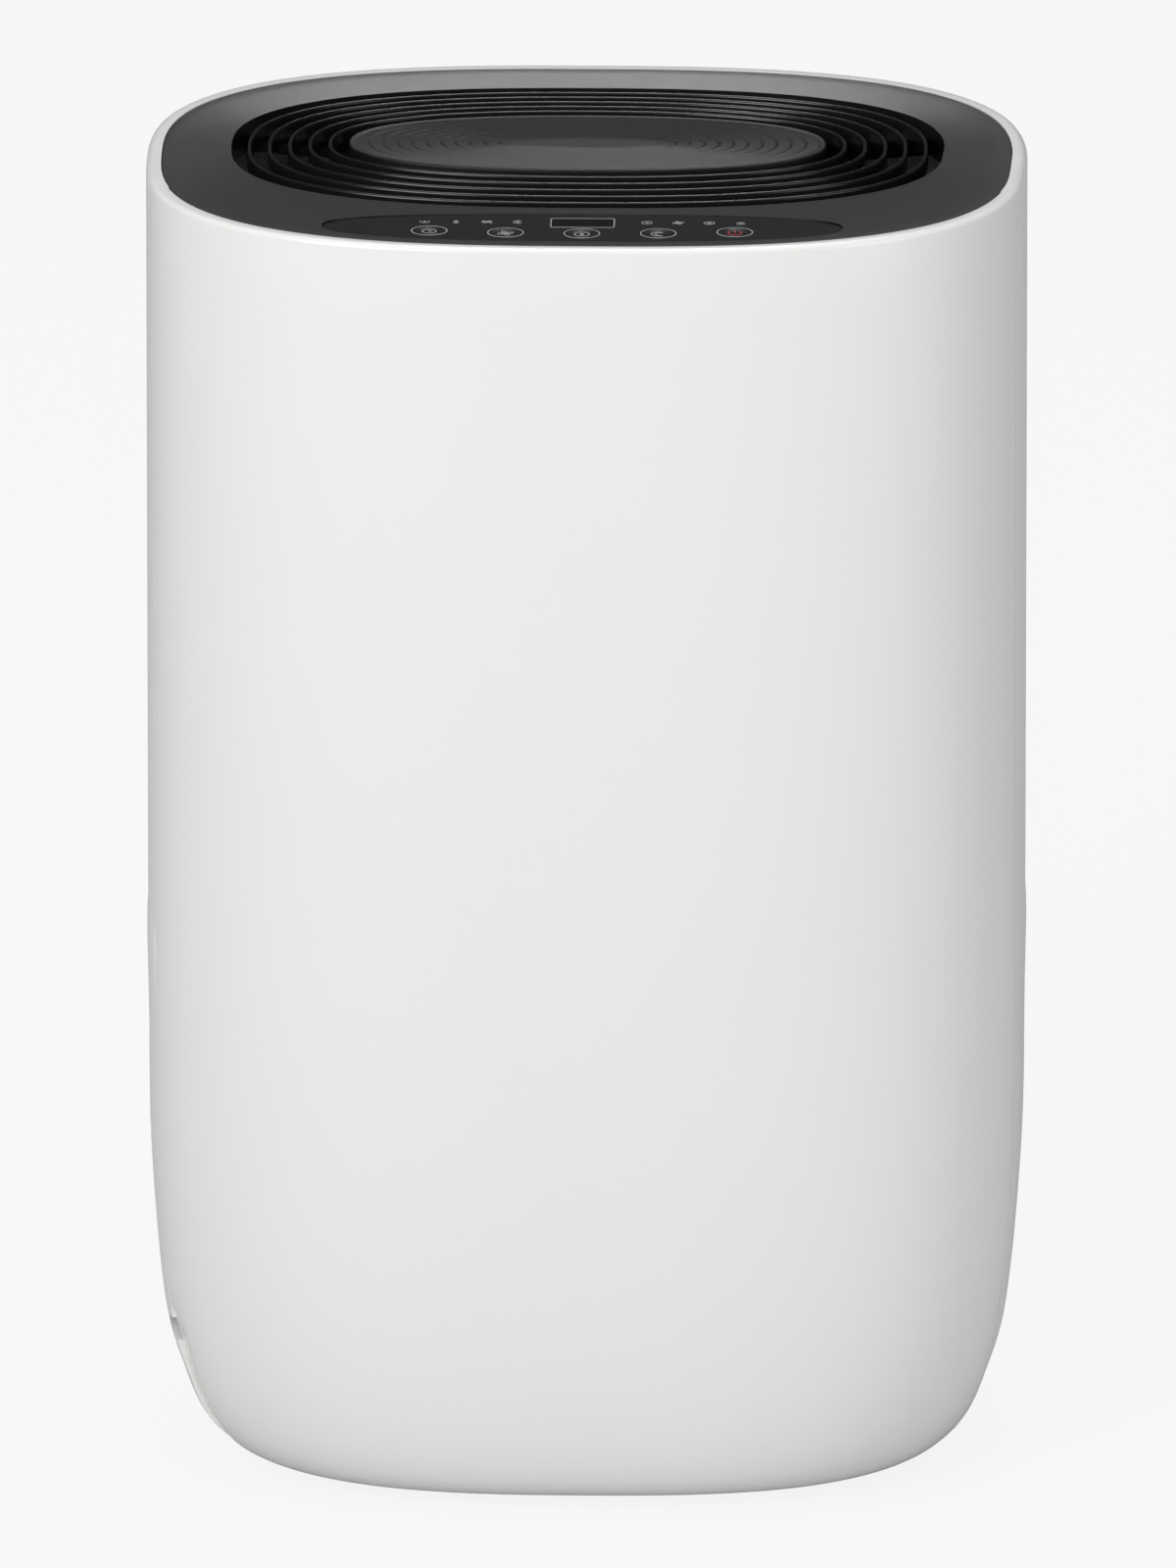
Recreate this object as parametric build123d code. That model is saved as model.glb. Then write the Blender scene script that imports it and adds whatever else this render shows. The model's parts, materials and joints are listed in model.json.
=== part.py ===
from build123d import *
import math
import os

# A tower-shaped compressor dehumidifier, in millimetres. +Z is up, the front faces -Y, and the
# origin is on the floor under the middle of the casing.

# Casing envelope. Its plan is a superellipse |x/a|^p + |y/b|^p = 1, and near the floor the walls
# draw in along a second superellipse, so that the foot is a smooth pebble shape.
WIDTH = 330.0
DEPTH = 236.0
HEIGHT = 503.0
HALF_W = WIDTH / 2
HALF_D = DEPTH / 2
PLAN_POWER = 2.75
DRAW_IN_TOP = 215.0
DRAW_IN_X = 52.0
DRAW_IN_Y = 30.0
DRAW_IN_POWER = 3.5
UNDERSIDE = 5.0
WALL = 3.0
GAP = 0.4
SEAM_Y = -42.0
RIM_WIDTH = 5.6
RIM_DEPTH = 9.0
LEDGE_WIDTH = 9.0
LEDGE_THICK = 3.0
RIM_ROUND = 3.0
OVAL_POINTS = 24
FOOT_SECTIONS = 11
REACH = 400.0

# Top cover, outlet grille and control panel.
LEDGE_Z = HEIGHT - RIM_DEPTH
COVER_TOP = HEIGHT - 0.3
GRILLE_Y = 19.0
OPENING_X = 133.7
OPENING_Y = 76.0
OPENING_POWER = 2.55
OPENING_Z = COVER_TOP - 2.2
COVER_THICK = 2.5
COVER_LIP = 1.2
DISC_X = 89.6
DISC_Y = 35.3
DISC_POWER = 2.3
DISC_TOP = OPENING_Z + 2.0
RING_COUNT = 5
RING_PITCH = 7.6
RING_THICK = 1.6
RIB_TOP = LEDGE_Z
RIB_BOTTOM = LEDGE_Z - 6.0
RIB_THICK = 1.8
RIB_COUNT = 12
INNER_OVAL_X = 28.5
INNER_OVAL_Y = 6.8
PANEL_FRONT_Y = -(HALF_D - RIM_WIDTH - GAP)
PANEL_SLOPE = math.degrees(math.atan2(COVER_TOP - OPENING_Z, GRILLE_Y - OPENING_Y - PANEL_FRONT_Y))
PANEL_X = 97.0
PANEL_Y = 19.5
PANEL_V = 26.5
PANEL_POWER = 2.5
PANEL_THICK = 1.2
PANEL_MARGIN = 0.3
LENS_THICK = 2.0
BOARD_TOP = -8.0
KEY_PITCH = 28.5
KEY_RADIUS = 6.2
KEY_HOLE_RADIUS = 6.45
KEY_LENGTH = 5.5
KEY_ARC_RADIUS = 540.0
KEY_V = 18.4
DISPLAY_SIZE = (22.9, 12.0)
DISPLAY_V = 33.5
LAMP_V = 34.3
LAMP_X = (24.0, 35.7, 47.3, 59.0)
LAMP_RADIUS = 0.9
KEY_NAMES = ("timer_key", "mode_key", "humidity_key", "fan_speed_key", "power_key")
PANEL_PLANE = Plane(
    origin=(0, PANEL_FRONT_Y, COVER_TOP),
    x_dir=(1, 0, 0),
    z_dir=(0, math.sin(math.radians(PANEL_SLOPE)), math.cos(math.radians(PANEL_SLOPE))),
)

# Water tank, pulled out of the left side. Its outline is drawn in the YZ plane.
TANK_FRONT = SEAM_Y + GAP
TANK_BACK = 88.0
TANK_TOP = 116.0
TANK_FLOOR = 12.6
TANK_FACE_X = -95.0
TANK_INNER_X = 26.0
TANK_WALL = 2.0
BAY_GAP = 0.8
LID_LEFT = -130.0
LID_RIGHT = -10.0
LID_FRONT = 36.0
LID_BACK = TANK_BACK - 10
LID_THICK = 1.8
DRIP_X = -40.0
DRIP_Y = 62.0
DRIP_HOLE_RADIUS = 9.0
FLOAT_PIVOT = (12.0, 46.0, 92.0)
FLOAT_ARM_HALF = 5.0
FLOAT_HALF_X = 9.0
FLOAT_PIN_RADIUS = 1.5

# Finger scoop beside the tank's toe.
SCOOP_WIDTH = 15.0
SCOOP_DEPTH = 1.8
SCOOP_TOP = 61.0

# Chassis floor, screws and feet.
TRAY_FLOOR_BOTTOM = UNDERSIDE + WALL + 0.2
TRAY_FLOOR_TOP = TRAY_FLOOR_BOTTOM + 3.0
SCREW_PLACES = [(-35, -58), (35, -58), (-80, -8), (80, -8), (-35, 58), (35, 58)]
SCREW_RADIUS = 2.0
PAD_X = 60.0
REAR_PAD_X = 78.0

# Handle pocket, hose nozzle and cord gland at the rear.
HANDLE_HALF_X = 56.0
HANDLE_LOW = 446.0
HANDLE_HIGH = 474.0
HANDLE_CORNER = 12.0
HANDLE_DEEP_Y = 88.0
DRAIN_X = -62.0
DRAIN_Z = 152.0
DRAIN_POCKET = 17.0
DRAIN_RADIUS = 6.0
DRAIN_BORE = 4.2
CORD_X = 78.0
CORD_Z = 62.0
CORD_BORE = 3.9
CORD_COLLAR = 9.0

# Inlet at the rear.
INLET_HALF_X = 105.0
INLET_LOW = 182.0
INLET_HIGH = 432.0
INLET_CORNER = 16.0
LOUVRE_PITCH = 9.0
LOUVRE_SLOT = 5.0

# Refrigeration circuit and fan.
COMPRESSOR_X = 88.0
COMPRESSOR_Y = -8.0
COMPRESSOR_RADIUS = 50.0
COMPRESSOR_FOOT = 40.0
COMPRESSOR_TOP = 205.0
SHELF_Z = 122.0
SHELF_THICK = 2.5
FAN_Z = 330.0
FAN_RADIUS = 60.0
FAN_FRONT = -8.0
FAN_DEPTH = 44.0
SCROLL_FRONT = FAN_FRONT - 4
BULKHEAD_FRONT = 43.0
BULKHEAD_BACK = 45.0
SCROLL_RADIUS = 80.0
EYE_RADIUS = FAN_RADIUS - 12
CHIMNEY_HALF_X = 62.0
MOTOR_RADIUS = 34.0
MOTOR_BACK = 46.0
BLADE_COUNT = 28
SHAFT_RADIUS = 4.0
COIL_HALF_X = 96.0
COIL_LOW = 186.0
COIL_HIGH = 416.0
FIN_PITCH = 6.0
FIN_THICK = 0.8
TUBE_RADIUS = 3.5
TUBE_ROWS = 8
COIL_DEPTH = 16.0
EVAPORATOR_FRONT = 68.0
CONDENSER_FRONT = 48.0


def lame(power, angle):
    """The point of the curve |u|^power + |v|^power = 1 seen at an angle from its middle."""
    c, s = math.cos(angle), math.sin(angle)
    reach = (abs(c) ** power + abs(s) ** power) ** (-1 / power)
    return reach * c, reach * s


def oval(half_x, half_y, z, power=PLAN_POWER, centre_y=0.0):
    """A flat face at height z, bounded by one closed spline through points of the superellipse."""
    points = []
    for i in range(OVAL_POINTS):
        u, v = lame(power, 2 * math.pi * i / OVAL_POINTS)
        points.append(Vector(half_x * u, half_y * v + centre_y, z))
    return Face(Wire([Edge.make_spline(points, periodic=True)]))


def oval_ring(half_x, half_y, width, z, power, height):
    """An upright oval wall of the given width, centred on the outlet."""
    inner = oval(half_x - width / 2, half_y - width / 2, z, power, GRILLE_Y)
    outer = oval(half_x + width / 2, half_y + width / 2, z, power, GRILLE_Y)
    return prism(Face(outer.outer_wire(), [inner.outer_wire()]), height)


def prism(face, height):
    """The flat face raised straight up by a height."""
    return extrude(face, amount=height, dir=(0, 0, 1))


def block(x0, x1, y0, y1, z0, z1):
    """A box between two values of x, of y and of z."""
    size = (x1 - x0, y1 - y0, z1 - z0)
    centre = ((x0 + x1) / 2, (y0 + y1) / 2, (z0 + z1) / 2)
    return Pos(*centre) * Box(*size)


def rod(radius, length, base, direction):
    """A cylinder from base along direction."""
    return Plane(origin=base, z_dir=direction) * extrude(Circle(radius), amount=length)


def pebble(inset, top):
    """The casing's form moved inwards by inset: a prism above DRAW_IN_TOP, a smooth loft below."""
    sections = []
    drop = DRAW_IN_TOP - UNDERSIDE - inset
    for i in range(FOOT_SECTIONS):
        width_left, fall = lame(DRAW_IN_POWER, math.pi / 2 * i / (FOOT_SECTIONS - 1))
        half_x = HALF_W - inset - DRAW_IN_X * (1 - width_left)
        half_y = HALF_D - inset - DRAW_IN_Y * (1 - width_left)
        sections.append(oval(half_x, half_y, DRAW_IN_TOP - drop * fall))
    tower = prism(oval(HALF_W - inset, HALF_D - inset, DRAW_IN_TOP), top - DRAW_IN_TOP)
    return loft(sections) + tower


def tank_outline(grow, notch=False):
    """The tank's side view in the YZ plane: a low toe at the seam, an S-shaped step, a tall back."""
    points = [
        (TANK_FRONT, -20),
        (TANK_FRONT, 48),
        (-24, 40),
        (-4, 40),
        (26, TANK_TOP),
        (TANK_BACK, TANK_TOP),
        (TANK_BACK, 50),
        (60, -20),
    ]
    face = make_face(Polyline(*points, close=True))
    corners = face.vertices()

    def near(y, z):
        return min(corners, key=lambda v: abs(v.X - y) + abs(v.Y - z))

    face = fillet([near(-4, 40), near(26, TANK_TOP)], 22)
    face = fillet(min(face.vertices(), key=lambda v: abs(v.X - TANK_BACK) + abs(v.Y - TANK_TOP)), 16)
    face = fillet(min(face.vertices(), key=lambda v: abs(v.X + 24) + abs(v.Y - 40)), 6)
    if grow:
        face = offset(face, amount=grow, kind=Kind.INTERSECTION)
    if notch:
        face = face + Pos(SEAM_Y, 41) * Circle(16)
    return face


def tank_prism(grow, x0, x1, notch=False):
    """The tank's side view, grown outwards, carried from x0 to x1."""
    face = Plane.YZ.offset(x0) * tank_outline(grow, notch)
    return extrude(face, amount=x1 - x0, dir=(1, 0, 0))


def casing():
    """The whole white casing as one wall, before it is split into its mouldings."""
    outer = pebble(0, HEIGHT)
    top_edge = outer.edges().group_by(Axis.Z)[-1]
    outer = fillet(top_edge, RIM_ROUND)
    inner = pebble(WALL, LEDGE_Z - LEDGE_THICK)
    hole = prism(oval(HALF_W - LEDGE_WIDTH, HALF_D - LEDGE_WIDTH, LEDGE_Z - 5), 10)
    mouth = prism(oval(HALF_W - RIM_WIDTH, HALF_D - RIM_WIDTH, LEDGE_Z), RIM_DEPTH + 5)
    return outer - [inner, hole, mouth]


def finger_scoop():
    """A shallow channel in the front moulding along the seam, ending in a round top."""
    skin = pebble(0, DRAW_IN_TOP + 10) - pebble(SCOOP_DEPTH, DRAW_IN_TOP + 10)
    centre_z = SCOOP_TOP - SCOOP_WIDTH
    length = 80.0
    strip = Pos(SEAM_Y, centre_z - length / 2) * Rectangle(2 * SCOOP_WIDTH, length)
    strip = strip + Pos(SEAM_Y, centre_z) * Circle(SCOOP_WIDTH)
    return skin & extrude(Plane.YZ.offset(-REACH) * strip, amount=REACH, dir=(1, 0, 0))


def inlet_prism(grow):
    """The inlet panel's outline, grown outwards, carried through the rear wall."""
    size = (2 * (INLET_HALF_X + grow), INLET_HIGH - INLET_LOW + 2 * grow)
    outline = RectangleRounded(*size, INLET_CORNER + grow)
    plane = Plane(origin=(0, 60, (INLET_LOW + INLET_HIGH) / 2), x_dir=(1, 0, 0), z_dir=(0, 1, 0))
    return extrude(plane * outline, amount=80)


def handle_prism(grow, y0, y1):
    """The handle opening's outline, grown outwards, carried from y0 to y1."""
    size = (2 * (HANDLE_HALF_X + grow), HANDLE_HIGH - HANDLE_LOW + 2 * grow)
    outline = RectangleRounded(*size, HANDLE_CORNER + grow)
    plane = Plane(origin=(0, y0, (HANDLE_LOW + HANDLE_HIGH) / 2), x_dir=(1, 0, 0), z_dir=(0, 1, 0))
    return extrude(plane * outline, amount=y1 - y0)


def screw_holes(radius):
    """Rods at every base screw's place, to cut its holes with."""
    holes = [rod(radius, 30, (x, y, -2), (0, 0, 1)) for x, y in SCREW_PLACES]
    return Part() + holes


def shells(whole):
    """Front and rear casing mouldings, split at the seam."""
    front = whole & block(-REACH, REACH, -REACH, SEAM_Y, -10, REACH * 2)
    front = front - finger_scoop() - screw_holes(SCREW_RADIUS + 0.3)
    keep = block(-REACH, REACH, SEAM_Y + GAP, REACH, -10, REACH * 2)
    rear = whole & (keep - tank_prism(BAY_GAP, -REACH, TANK_FACE_X + 0.6, notch=True))
    rear = rear - inlet_prism(GAP) - handle_prism(0, 70, 130)
    rear = rear - rod(DRAIN_POCKET, 60, (DRAIN_X, 80, DRAIN_Z), (0, 1, 0))
    rear = rear - rod(CORD_COLLAR - 2, 60, (CORD_X, 60, CORD_Z), (0, 1, 0))
    rear = rear - screw_holes(SCREW_RADIUS + 0.3)
    return front, rear


def top_cover():
    """The black dished frame round the outlet, with the recess for the control panel."""
    out_x = HALF_W - RIM_WIDTH - GAP
    out_y = HALF_D - RIM_WIDTH - GAP
    body = prism(oval(out_x, out_y, LEDGE_Z), COVER_TOP - LEDGE_Z)
    mouth = oval(OPENING_X, OPENING_Y, OPENING_Z, OPENING_POWER, GRILLE_Y)
    lip = COVER_LIP
    dish = loft([mouth, oval(out_x - lip, out_y - lip, COVER_TOP)], ruled=True)
    throat = prism(oval(OPENING_X, OPENING_Y, LEDGE_Z - 20, OPENING_POWER, GRILLE_Y), 60)
    hollow = prism(
        oval(out_x - COVER_THICK, out_y - COVER_THICK, LEDGE_Z - 1),
        OPENING_Z - COVER_THICK - LEDGE_Z + 1,
    )
    collar = prism(
        oval(OPENING_X + 2, OPENING_Y + 2, LEDGE_Z - 2, OPENING_POWER, GRILLE_Y),
        RIM_DEPTH,
    )
    recess = extrude(PANEL_PLANE.offset(-PANEL_THICK) * panel_outline(PANEL_MARGIN), amount=20)
    holes = [panel_rod(KEY_HOLE_RADIUS, u, v, -20, 10) for u, v in key_places()]
    holes += [panel_rod(LAMP_RADIUS + 0.1, x, LAMP_V, -20, 10) for x in lamp_places()]
    window = Rectangle(DISPLAY_SIZE[0] + 0.6, DISPLAY_SIZE[1] + 0.6)
    holes.append(extrude(PANEL_PLANE.offset(-20) * (Pos(0, DISPLAY_V) * window), amount=30))
    return body - [dish, throat] - (hollow - collar) - recess - holes


def key_places():
    """Key centres on the panel: a shallow arc, lowest in the middle."""
    places = []
    for i in range(len(KEY_NAMES)):
        u = (i - (len(KEY_NAMES) - 1) / 2) * KEY_PITCH
        places.append((u, KEY_V + KEY_ARC_RADIUS - math.sqrt(KEY_ARC_RADIUS**2 - u**2)))
    return places


def lamp_places():
    """The lamps' distances from the middle, left of the display and right of it."""
    return [side * x for side in (-1, 1) for x in LAMP_X]


def panel_rod(radius, u, v, bottom, top):
    """A cylinder square to the panel at a place on it, between two heights above its face."""
    base = PANEL_PLANE.from_local_coords(Vector(u, v, bottom))
    return rod(radius, top - bottom, base, PANEL_PLANE.z_dir)


def panel_outline(grow=0.0):
    """The long oval of the control panel."""
    points = []
    for i in range(OVAL_POINTS):
        u, v = lame(PANEL_POWER, 2 * math.pi * i / OVAL_POINTS)
        points.append(Vector((PANEL_X + grow) * u, (PANEL_Y + grow) * v + PANEL_V))
    return Face(Wire([Edge.make_spline(points, periodic=True)]))


def between(share):
    """Half axes and power of an oval partway from the outlet's edge to its middle disc."""
    return (
        OPENING_X + (DISC_X - OPENING_X) * share,
        OPENING_Y + (DISC_Y - OPENING_Y) * share,
        OPENING_POWER + (DISC_POWER - OPENING_POWER) * share,
    )


def outlet_slats():
    """Concentric oval slats, which stand on the ribs of the spider."""
    rings = []
    for i in range(1, RING_COUNT + 1):
        share = (i * RING_PITCH - RING_THICK / 2) / (OPENING_X - DISC_X)
        half_x, half_y, power = between(share)
        top = OPENING_Z + (DISC_TOP - OPENING_Z) * share
        rings.append(oval_ring(half_x, half_y, RING_THICK, RIB_TOP, power, top - RIB_TOP))
    return rings


def outlet_spider():
    """Radial ribs under the slats, inside a flange that screws up under the cover."""
    height = RIB_TOP - RIB_BOTTOM
    bars = []
    for i in range(RIB_COUNT // 2):
        bar = block(-REACH, REACH, -RIB_THICK / 2, RIB_THICK / 2, 0, height)
        bars.append(Pos(0, GRILLE_Y, RIB_BOTTOM) * Rot(0, 0, 360 / RIB_COUNT * (i + 0.5)) * bar)
    span = prism(oval(OPENING_X + 4, OPENING_Y + 4, RIB_BOTTOM, OPENING_POWER, GRILLE_Y), height)
    ribs = (Part() + bars) & span
    return ribs + oval_ring(OPENING_X + 4, OPENING_Y + 4, 6, RIB_BOTTOM, OPENING_POWER, height)


def outlet_disc():
    """The blank middle of the outlet, hollow below, with one groove round its flat centre."""
    disc = prism(oval(DISC_X, DISC_Y, RIB_TOP, DISC_POWER, GRILLE_Y), DISC_TOP - RIB_TOP)
    hollow = oval(DISC_X - RING_THICK, DISC_Y - RING_THICK, RIB_TOP, DISC_POWER, GRILLE_Y)
    disc = disc - prism(hollow, DISC_TOP - 2.5 - RIB_TOP)
    return disc - oval_ring(INNER_OVAL_X, INNER_OVAL_Y, 0.8, DISC_TOP - 0.4, DISC_POWER, 1)


def control_panel():
    """The thin printed plate in the cover's recess, pierced for the keys, display and lamps."""
    plate = extrude(PANEL_PLANE * panel_outline(), amount=-PANEL_THICK)
    window = Pos(0, DISPLAY_V) * Rectangle(*DISPLAY_SIZE)
    holes = [panel_rod(KEY_HOLE_RADIUS, u, v, -5, 5) for u, v in key_places()]
    holes += [panel_rod(LAMP_RADIUS, x, LAMP_V, -5, 5) for x in lamp_places()]
    holes.append(extrude(PANEL_PLANE.offset(-5) * window, amount=10))
    return plate - holes


def panel_pieces():
    """Keys, display, lamps, board and switches, all square to the sloping panel."""
    pieces = {}
    for name, (u, v) in zip(KEY_NAMES, key_places()):
        pieces[name] = panel_rod(KEY_RADIUS, u, v, -KEY_LENGTH, 0)
    width, depth = DISPLAY_SIZE
    lens = Pos(0, DISPLAY_V) * Rectangle(width - 0.2, depth - 0.2)
    pieces["display_lens"] = extrude(PANEL_PLANE * lens, amount=-LENS_THICK)
    module = Pos(0, DISPLAY_V) * Rectangle(width - 0.6, depth - 0.6)
    module_top = -LENS_THICK - 0.1
    module_plane = PANEL_PLANE.offset(module_top)
    pieces["display_module"] = extrude(module_plane * module, amount=BOARD_TOP - module_top)
    pieces["indicator_lamps"] = [
        panel_rod(LAMP_RADIUS - 0.05, x, LAMP_V, BOARD_TOP, 0) for x in lamp_places()
    ]
    board = Pos(0, 27) * RectangleRounded(140, 36, 3)
    board_plane = PANEL_PLANE.offset(BOARD_TOP)
    pieces["control_board"] = extrude(board_plane * board, amount=-1.6)
    switch = Rectangle(6, 6)
    pieces["key_switches"] = [
        extrude(board_plane * (Pos(u, v) * switch), amount=1.8) for u, v in key_places()
    ]
    return pieces


def water_tank():
    """The tub, its white outer face, and the flat cover over its filling opening."""
    top = DRAW_IN_TOP + 5
    face = (pebble(0, top) - pebble(WALL, top)) & tank_prism(0, -REACH, TANK_FACE_X)
    room = block(-REACH, TANK_INNER_X, -REACH, REACH, TANK_FLOOR, REACH)
    tub = pebble(WALL + 0.3, top) & room & tank_prism(-1.0, -REACH, REACH)
    room = block(-REACH, TANK_INNER_X - TANK_WALL, -REACH, REACH, TANK_FLOOR + TANK_WALL, REACH)
    hollow = pebble(WALL + TANK_WALL, top) & room & tank_prism(-1.0 - TANK_WALL, -REACH, REACH)
    mouth = block(LID_LEFT, LID_RIGHT, LID_FRONT, LID_BACK, TANK_TOP - 8, TANK_TOP + 5)
    tub = tub - hollow - mouth
    left, right = LID_LEFT + 0.3, LID_RIGHT - 0.3
    front, back = LID_FRONT + 0.3, LID_BACK - 0.3
    cover = block(left, right, front, back, TANK_TOP - 1 - LID_THICK, TANK_TOP - 1)
    cover = cover - rod(DRIP_HOLE_RADIUS, 20, (DRIP_X, DRIP_Y, TANK_TOP - 10), (0, 0, 1))
    pieces, ears = float_pieces()
    pieces.update({"tank_face": face, "tank_tub": tub + ears, "tank_cover": cover})
    return pieces


def float_pieces():
    """A float on an arm, which rises with the water, its pin, and the tub's ears for the pin."""
    x, y, z = FLOAT_PIVOT
    half = FLOAT_ARM_HALF
    arm = block(x - half, x + half, y, y + 14, z - 2, z + 2)
    arm = arm + rod(4, 2 * half, (x - half, y, z), (1, 0, 0))
    arm = arm - rod(FLOAT_PIN_RADIUS + 0.05, 3 * half, (x - 1.5 * half, y, z), (1, 0, 0))
    body = block(x - FLOAT_HALF_X, x + FLOAT_HALF_X, y + 12, y + 30, z - 22, z + 2)
    magnet = rod(3, 3, (x, y + 22, z + 2), (0, 0, 1))
    pin = rod(FLOAT_PIN_RADIUS, 24, (x - 12, y, z), (1, 0, 0))
    ears = []
    for side in (-1, 1):
        middle = x + side * 9
        ear = block(middle - 1.5, middle + 1.5, y - 4, y + 4, z - 6, TANK_TOP - 2)
        ears.append(ear - rod(FLOAT_PIN_RADIUS, 40, (x - 20, y, z), (1, 0, 0)))
    return {"float_arm": arm + body, "float_magnet": magnet, "float_pin": pin}, ears


def inlet_pieces(whole):
    """The louvred inlet panel, which pulls off rearwards with the dust filter clipped inside it."""
    panel = whole & inlet_prism(-GAP)
    slot_half = INLET_HALF_X - 12
    z = INLET_LOW + 14
    slots = []
    while z < INLET_HIGH - 14:
        slots.append(block(-slot_half, -4, 60, 140, z, z + LOUVRE_SLOT))
        slots.append(block(4, slot_half, 60, 140, z, z + LOUVRE_SLOT))
        z += LOUVRE_PITCH
    panel = panel - slots
    front, back = 90.0, 94.0
    edge = 5.0
    half_x = INLET_HALF_X - 14
    low, high = INLET_LOW + 6, INLET_HIGH - 6
    inner_x = half_x - edge
    opening = block(-inner_x, inner_x, front - 1, back + 1, low + edge, high - edge)
    frame = block(-half_x, half_x, front, back, low, high) - opening
    frame = frame + block(-1.5, 1.5, front, back, low + 2, high - 2)
    frame = frame + block(-half_x + 2, half_x - 2, front, back, FAN_Z - 24, FAN_Z - 21)
    sheet = block(-half_x + 1, half_x - 1, back + 0.1, back + 0.7, low + 2, high - 2)
    return {"inlet_grille": panel, "filter_frame": frame, "filter_mesh": sheet}


def coil(front):
    """A finned block, extruded as a comb, and its serpentine tube with return bends."""
    y = front + COIL_DEPTH / 2
    teeth = []
    for i in range(int(2 * COIL_HALF_X / FIN_PITCH) + 1):
        teeth.append(Pos(FIN_PITCH * i - COIL_HALF_X, y) * Rectangle(FIN_THICK, COIL_DEPTH))
    section = Pos(0, y) * Rectangle(2 * COIL_HALF_X, 1.0) + teeth
    comb = extrude(Pos(0, 0, COIL_LOW) * section, amount=COIL_HIGH - COIL_LOW)
    rise = (COIL_HIGH - COIL_LOW) / TUBE_ROWS
    end = COIL_HALF_X + 4
    holes, runs = [], []
    for i in range(TUBE_ROWS):
        z = COIL_LOW + rise * (i + 0.5)
        holes.append(rod(TUBE_RADIUS + 0.1, 3 * COIL_HALF_X, (-1.5 * COIL_HALF_X, y, z), (1, 0, 0)))
        runs.append(rod(TUBE_RADIUS, 2 * end, (-end, y, z), (1, 0, 0)))
        if i + 1 < TUBE_ROWS:
            side = -1 if i % 2 == 0 else 1
            bend = Pos(side * end, y, z + rise / 2) * Rot(90, 0, 0) * Torus(rise / 2, TUBE_RADIUS)
            half = Pos(side * (end + 20), y, z + rise / 2) * Box(40, 20, rise + 20)
            runs.append(bend & half)
    return comb - holes, Part() + runs


def fan_scroll():
    """The fan's volute: a spiral wall between two plates, open at the top and at the rear eye."""
    depth = BULKHEAD_FRONT - SCROLL_FRONT
    y0 = SCROLL_FRONT
    plane = Plane(origin=(0, y0, 0), x_dir=(1, 0, 0), z_dir=(0, 1, 0))

    def profile(r, margin):
        top = RIB_BOTTOM - 1
        disc = Pos(0, -FAN_Z) * Circle(r)
        chimney = Rectangle(2 * (CHIMNEY_HALF_X - margin), top - FAN_Z)
        return disc + Pos(0, -(FAN_Z + top) / 2) * chimney

    outer = extrude(plane * profile(SCROLL_RADIUS, 0), amount=depth)
    inner = extrude(plane.offset(2) * profile(SCROLL_RADIUS - 2, 2), amount=depth - 4)
    half_x = CHIMNEY_HALF_X - 2
    mouth = block(-half_x, half_x, y0 + 2, y0 + depth - 2, RIB_BOTTOM - 8, RIB_BOTTOM + 7)
    eye = rod(EYE_RADIUS, 20, (0, y0 + depth - 10, FAN_Z), (0, 1, 0))
    shaft_hole = rod(SHAFT_RADIUS + 3, 20, (0, y0 - 10, FAN_Z), (0, 1, 0))
    return outer - inner - mouth - eye - shaft_hole


def bulkhead():
    """The upright plate that the fan housing and the coils are fixed to."""
    half_x = COIL_HALF_X + 2
    plate = block(-half_x, half_x, BULKHEAD_FRONT, BULKHEAD_BACK, SHELF_Z + SHELF_THICK, 478)
    return plate - rod(EYE_RADIUS, 20, (0, BULKHEAD_FRONT - 5, FAN_Z), (0, 1, 0))


def impeller():
    """A squirrel-cage wheel: back plate, hub, slanted blades and a rear ring, and its shaft."""
    y0 = FAN_FRONT
    plate = rod(FAN_RADIUS, 2, (0, y0, FAN_Z), (0, 1, 0))
    plate = plate + rod(11, 22, (0, y0, FAN_Z), (0, 1, 0))
    wheel = plate - rod(SHAFT_RADIUS, 40, (0, y0 - 5, FAN_Z), (0, 1, 0))
    ring = rod(FAN_RADIUS, 3, (0, y0 + FAN_DEPTH - 3, FAN_Z), (0, 1, 0))
    ring = ring - rod(FAN_RADIUS - 11, 10, (0, y0 + FAN_DEPTH - 6, FAN_Z), (0, 1, 0))
    blades = []
    for i in range(BLADE_COUNT):
        place = Pos(0, y0, FAN_Z) * Rot(0, 360 / BLADE_COUNT * i, 0)
        place = place * Pos(FAN_RADIUS - 6, 0, 0) * Rot(0, 28, 0)
        blades.append(place * block(-4.5, 4.5, 1, FAN_DEPTH - 1, -0.6, 0.6))
    wheel = wheel + ring + blades
    shaft = rod(SHAFT_RADIUS, 62, (0, y0 - MOTOR_BACK, FAN_Z), (0, 1, 0))
    return wheel, shaft


def fan_motor():
    """The round motor in front of the fan housing, with a bore for the shaft."""
    base = (0, FAN_FRONT - MOTOR_BACK, FAN_Z)
    body = rod(MOTOR_RADIUS, SCROLL_FRONT - FAN_FRONT + MOTOR_BACK, base, (0, 1, 0))
    body = fillet(body.edges().filter_by(GeomType.CIRCLE), 4)
    return body - rod(SHAFT_RADIUS + 0.05, 60, (0, FAN_FRONT - 60, FAN_Z), (0, 1, 0))


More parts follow.
